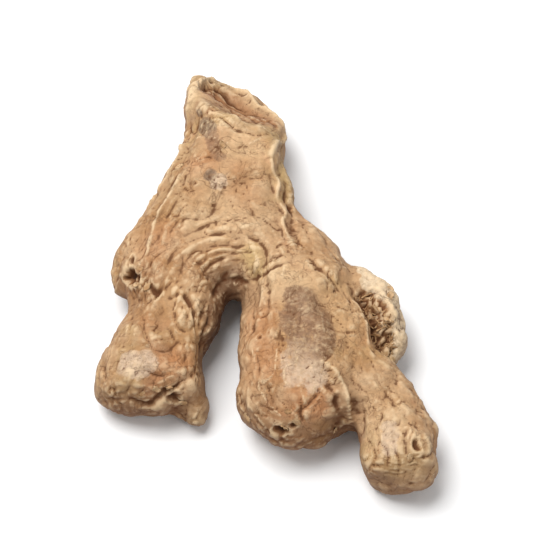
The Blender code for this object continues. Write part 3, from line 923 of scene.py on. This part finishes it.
# The tints, a few of which are painted shade, go on before the stains.
colour = coated(colour, [(tint_and_shade["Color"], tint_and_shade["Alpha"], 0.85), (flecked, ragged, 0.82)])
print("nodes for clouds and stains:", len(tree.nodes))

# %% Crackle and fine lines
CRACKLE_SIZE, CRACKLE_WANDER = 240.0, 0.005

wander = put(tree, "ShaderNodeTexNoise", {"Vector": place, "Scale": 300.0, "Detail": 3.0}).outputs[1]
warped = vector("ADD", place, vector("SCALE", wander, CRACKLE_WANDER))
cell_edge = put(tree, "ShaderNodeTexVoronoi", {"Vector": warped, "Scale": CRACKLE_SIZE},
                feature="DISTANCE_TO_EDGE").outputs[0]
crackle = times(between(cell_edge, 0.05, 0.0), between(cloud(150, 2), 0.50, 0.64))


def thin_lines(per_metre, width):
    """Meandering lines where noise crosses its middle value: 1 on a line, 0 off it."""
    middle = plus(cloud(per_metre, 3, 0.5, 1.0), -0.5)
    off_line = put(tree, "ShaderNodeMath", {0: middle}, operation="ABSOLUTE").outputs[0]
    return between(off_line, width, 0.0)


broad_lines = times(thin_lines(260, 0.018), between(cloud(140, 2), 0.44, 0.58))
close_lines = times(thin_lines(620, 0.03), between(cloud(190, 2), 0.46, 0.60))
lines = plus(times(broad_lines, 0.8), times(close_lines, 0.6))
print("nodes with crackle and lines:", len(tree.nodes))

# %% Ridges, creases and holes
mottle = between(cloud(1100, 5, 0.65), 0.3, 0.72, 0.84, 1.1)
proud_fine, proud_broad = on_skin("proud_fine")["Fac"], on_skin("proud_broad")["Fac"]
hollows = on_skin("hollow")["Fac"]
colour = coated(vector("SCALE", colour, mottle), [
    # painted highlight: ridges that stand proud are made paler
    (HIGHLIGHT_AND_FLECK_CREAM, between(proud_fine, 0.55, 0.95), 0.5),
    (HIGHLIGHT_AND_FLECK_CREAM, between(proud_broad, 0.55, 0.95), 0.35),
    # painted shade: creases that sink below the skin round them are made darker
    (SHADE_AND_CRACK_BROWN, between(proud_broad, 0.48, 0.05), 0.7),
    (SHADE_AND_CRACK_BROWN, between(proud_fine, 0.45, 0.05), 0.8),
    # pale on raised crests, partly the skin's own pale ridges and partly painted highlight
    (HIGHLIGHT_AND_FLECK_CREAM, between(on_skin("crest")["Fac"], 0.35, 0.95), 0.3),
    (SHADE_AND_CRACK_BROWN, crackle, 0.5),
    (SHADE_AND_CRACK_BROWN, lines, 0.55),
    (SHADE_AND_CRACK_BROWN, between(cloud(2600, 2, 0.5), 0.70, 0.78), 0.5),
    # painted shade: skin that faces sideways or down is darkened
    (SHADE_AND_CRACK_BROWN, on_skin("flank_shade")["Fac"], 0.7),
    # painted shade in grooves and holes, deeper ones darker; the holes' own inside is dark brown too
    (SHADE_AND_CRACK_BROWN, between(hollows, 0.25, 0.8), 0.5),
    (HOLE_BROWN, between(hollows, 0.75, 1.0), 0.9),
])
print("nodes with ridges and creases:", len(tree.nodes))

# %% Grain and shine
grainy = plus(times(cloud(2400, 6, 0.7), 0.6), times(cloud(900, 4, 0.6), 0.4))
grainy = plus(grainy, times(crackle, -0.5))
grainy = plus(grainy, times(lines, -0.7))
bump = put(tree, "ShaderNodeBump", {"Height": grainy, "Strength": 0.55, "Distance": 0.25 * MM})
shader = put(tree, "ShaderNodeBsdfPrincipled", {
    "Base Color": colour, "Roughness": between(proud_broad, 0.2, 0.9, 0.85, 0.62),
    "Normal": bump.outputs[0], "Specular IOR Level": 0.35, "IOR": 1.45})
put(tree, "ShaderNodeOutputMaterial", {"Surface": shader.outputs[0]})
mesh.shade_smooth()
print("material nodes:", len(tree.nodes))

# %% [markdown]
# ## Loose flakes and broken fibres
#
# Close to, dry ginger sheds. Small flakes of skin curl up where it is stained or broken, and stiff
# fibres cross the open face of the side bud. There are dozens of them and no two lie alike, so
# Geometry Nodes scatter one small shape over the skin, as thickly as a patch on the skin says.

# %% Where flakes and fibres are
flaky = np.zeros(count)
for shares, radius, value in [
    ([(0.34, 0.74), (0.38, 0.69)], 7, 1.0),
    ([(0.11, 0.46), (0.15, 0.44)], 6, 1.0),
    ([(0.06, 0.20), (0.26, 0.19)], 5, 0.8),
    ([(0.55, 0.12), (0.66, 0.14)], 6, 0.7),
    ([(0.84, 0.44), (0.91, 0.35)], 5, 1.0),
    ([(0.93, 0.06)], 4, 0.8),
    ([(0.59, 0.38), (0.61, 0.22)], 7, 0.1),
]:
    flaky = np.maximum(flaky, patch(shares, radius) * value)
store("flaky", np.maximum(flaky, 0.01) * soft_step(noise(40), 0.3, 6))
store("fibrous", np.clip(2 * netted - 1, 0, 1))
print("flaky skin:", round(float(flaky.mean()), 3), "fibrous:", round(float((netted > 0.5).mean()), 3))


# %% Trees that scatter a small shape
def scatter_tree(name, where, one):
    """A tree that scatters one small shape over the skin, as thickly as the field called where."""
    tree, given = geometry_tree(name, [
        "Density", "Seed", "Smallest", "Largest", "Tilt", "Length", "Thickness"])
    spread = put(tree, "GeometryNodeDistributePointsOnFaces", {
        "Mesh": given["Geometry"], "Density": times(field(tree, where), given["Density"]),
        "Seed": given["Seed"]}).outputs
    turn = put(tree, "ShaderNodeCombineXYZ", {
        "X": given["Tilt"], "Y": given["Tilt"], "Z": math.pi}).outputs[0]
    angle = put(tree, "FunctionNodeRandomValue", {
        0: vector("SCALE", turn, -1.0), 1: turn, "Seed": 1}, data_type="FLOAT_VECTOR").outputs[0]
    angle = put(tree, "FunctionNodeEulerToRotation", {0: angle}).outputs[0]
    angle = put(tree, "FunctionNodeRotateRotation", {0: spread["Rotation"], 1: angle},
                rotation_space="LOCAL").outputs[0]
    size = put(tree, "FunctionNodeRandomValue", {
        2: given["Smallest"], 3: given["Largest"], "Seed": 2}, data_type="FLOAT").outputs[1]
    placed = put(tree, "GeometryNodeInstanceOnPoints", {
        "Points": spread["Points"], "Instance": one(tree, given), "Rotation": angle, "Scale": size})
    finish_tree(tree, placed.outputs[0], given["Material"])
    return tree


def bent(tree, geometry, bend, wobble):
    """Curls a shape upwards along x, and roughens it."""
    position = put(tree, "GeometryNodeInputPosition").outputs[0]
    x = put(tree, "ShaderNodeSeparateXYZ", {0: position}).outputs[0]
    lift = times(times(x, x), bend)
    up = put(tree, "ShaderNodeCombineXYZ", {"Z": lift}).outputs[0]
    rough = put(tree, "ShaderNodeTexNoise", {"Vector": position, "Scale": 2.3}).outputs[1]
    rough = vector("SCALE", vector("SUBTRACT", rough, (0.5, 0.5, 0.5)), wobble)
    return moved(geometry, vector("ADD", up, rough))


def one_flake(tree, given):
    """A thin closed disc, longer than wide, with curled ends."""
    ball = put(tree, "GeometryNodeMeshIcoSphere", {"Radius": 1.0, "Subdivisions": 2}).outputs[0]
    shape = put(tree, "ShaderNodeCombineXYZ", {"X": given["Length"], "Y": 0.8, "Z": given["Thickness"]})
    disc = put(tree, "GeometryNodeTransform", {"Geometry": ball, "Scale": shape.outputs[0]}).outputs[0]
    return bent(tree, disc, bend=0.2, wobble=1.4)


def one_fibre(tree, given):
    """A thin closed rod, bowed and uneven."""
    pillar = put(tree, "GeometryNodeMeshCylinder", {
        "Vertices": 6, "Side Segments": 6, "Radius": 1.0, "Depth": 2.0}).outputs[0]
    shape = put(tree, "ShaderNodeCombineXYZ", {
        "X": given["Thickness"], "Y": given["Thickness"], "Z": given["Length"]}).outputs[0]
    rod = put(tree, "GeometryNodeTransform", {"Geometry": pillar, "Scale": shape}).outputs[0]
    lying = put(tree, "GeometryNodeTransform", {"Geometry": rod, "Rotation": (0, math.pi / 2, 0)})
    return bent(tree, lying.outputs[0], bend=0.25, wobble=0.4)


# %% Paint for flakes and fibres
def plain_paint(name, dark, light, per_metre, matt):
    """A two-tone noise paint with a fine bump, for pieces too small to stain."""
    made = bpy.data.materials.new(name)
    made.use_nodes = True
    nodes = made.node_tree
    nodes.nodes.clear()
    where = put(nodes, "ShaderNodeTexCoord").outputs["Object"]
    mix = put(nodes, "ShaderNodeTexNoise", {
        "Vector": where, "Scale": per_metre, "Detail": 4.0}).outputs[0]
    ramp = put(nodes, "ShaderNodeMapRange", {"Value": mix, "From Min": 0.4, "From Max": 0.62})
    blended = put(nodes, "ShaderNodeMix", {0: ramp.outputs[0], 6: dark, 7: light}, data_type="RGBA")
    rough = put(nodes, "ShaderNodeBump", {"Height": mix, "Strength": 0.4, "Distance": 0.2 * MM})
    surface = put(nodes, "ShaderNodeBsdfPrincipled", {
        "Base Color": blended.outputs[2], "Roughness": matt, "Normal": rough.outputs[0],
        "Specular IOR Level": 0.3})
    put(nodes, "ShaderNodeOutputMaterial", {"Surface": surface.outputs[0]})
    return made


flake_paint = plain_paint("loose_skin", shade(164, 126, 86), shade(206, 174, 134), 500.0, 0.8)
fibre_paint = plain_paint("dried_fibre", shade(140, 100, 62), shade(196, 160, 116), 800.0, 0.75)

# %% Scatter them
def scattered(name, where, one, values):
    """A piece made of many copies of one small shape, with none of it under the table."""
    piece = bpy.data.objects.new(name, mesh)
    scene.collection.objects.link(piece)
    made = apply_tree(piece, scatter_tree(name.replace("_", " "), where, one), values)
    made.shade_smooth()
    places = get_points(made)
    places[:, 2] = np.maximum(places[:, 2], low[2])
    set_points(made, places)
    piece.data = made
    print(name, "faces:", len(made.polygons))
    return piece


flakes = scattered("skin_flakes", "flaky", one_flake, {
    "Density": 120000.0, "Seed": 4.0, "Smallest": 0.45 * MM, "Largest": 1.0 * MM, "Tilt": 0.14,
    "Length": 1.2, "Thickness": 0.09, "Material": flake_paint})
fibres = scattered("bud_fibres", "fibrous", one_fibre, {
    "Density": 700000.0, "Seed": 9.0, "Smallest": 0.5 * MM, "Largest": 1.0 * MM, "Tilt": 0.2,
    "Length": 1.2, "Thickness": 0.17, "Material": fibre_paint})

# %% [markdown]
# ## Fit the pieces to the frame
#
# Everything moves with the one body there is. The skin stands for the measured solid.

# %% Ride, replace
for piece in (skin, flakes, fibres):
    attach(piece, "root")
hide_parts("ginger_rhizome")
print("skin triangles:", sum(len(f.vertices) - 2 for f in mesh.polygons))

# %% [markdown]
# ## Table and light
#
# A plain pale table and a white room. One large soft light above and to the left shapes the folds,
# and a weaker one opposite keeps the shadows brown and not black.

# %% Table
TABLE_HALF = 2.0
TABLE_WHITE = (0.93, 0.93, 0.93, 1)
TABLE_ROUGHNESS = 0.8

table_mesh = bpy.data.meshes.new("table")
corners = [(x * TABLE_HALF, y * TABLE_HALF, 0) for x, y in ((-1, -1), (1, -1), (1, 1), (-1, 1))]
table_mesh.from_pydata(corners, [], [(0, 1, 2, 3)])
table = bpy.data.objects.new("table", table_mesh)
scene.collection.objects.link(table)
table_paint = bpy.data.materials.new("pale_table")
table_paint.use_nodes = True
table_shader = table_paint.node_tree.nodes["Principled BSDF"]
table_shader.inputs["Base Color"].default_value = TABLE_WHITE
table_shader.inputs["Roughness"].default_value = TABLE_ROUGHNESS
table_mesh.materials.append(table_paint)
print("table:", 2 * TABLE_HALF, "m square")

# %% Light
ROOM_BRIGHTNESS = 0.38


def soft_light(name, place, size, power):
    """A square light that faces the rhizome."""
    lamp = bpy.data.lights.new(name, "AREA")
    lamp.size = size
    lamp.energy = power
    lamp_object = bpy.data.objects.new(name, lamp)
    scene.collection.objects.link(lamp_object)
    lamp_object.location = place
    lamp_object.rotation_euler = (-Vector(place)).to_track_quat("-Z", "Y").to_euler()


soft_light("key light", place=(-0.28, 0.20, 0.78), size=0.62, power=8.8)
soft_light("fill light", place=(0.5, -0.5, 0.5), size=0.6, power=1.3)
room = bpy.data.worlds.new("white room")
room.use_nodes = True
walls = room.node_tree.nodes["Background"]
walls.inputs["Color"].default_value = (1, 1, 1, 1)
walls.inputs["Strength"].default_value = ROOM_BRIGHTNESS
scene.world = room
scene.view_settings.view_transform = "Standard"
print("lights set")
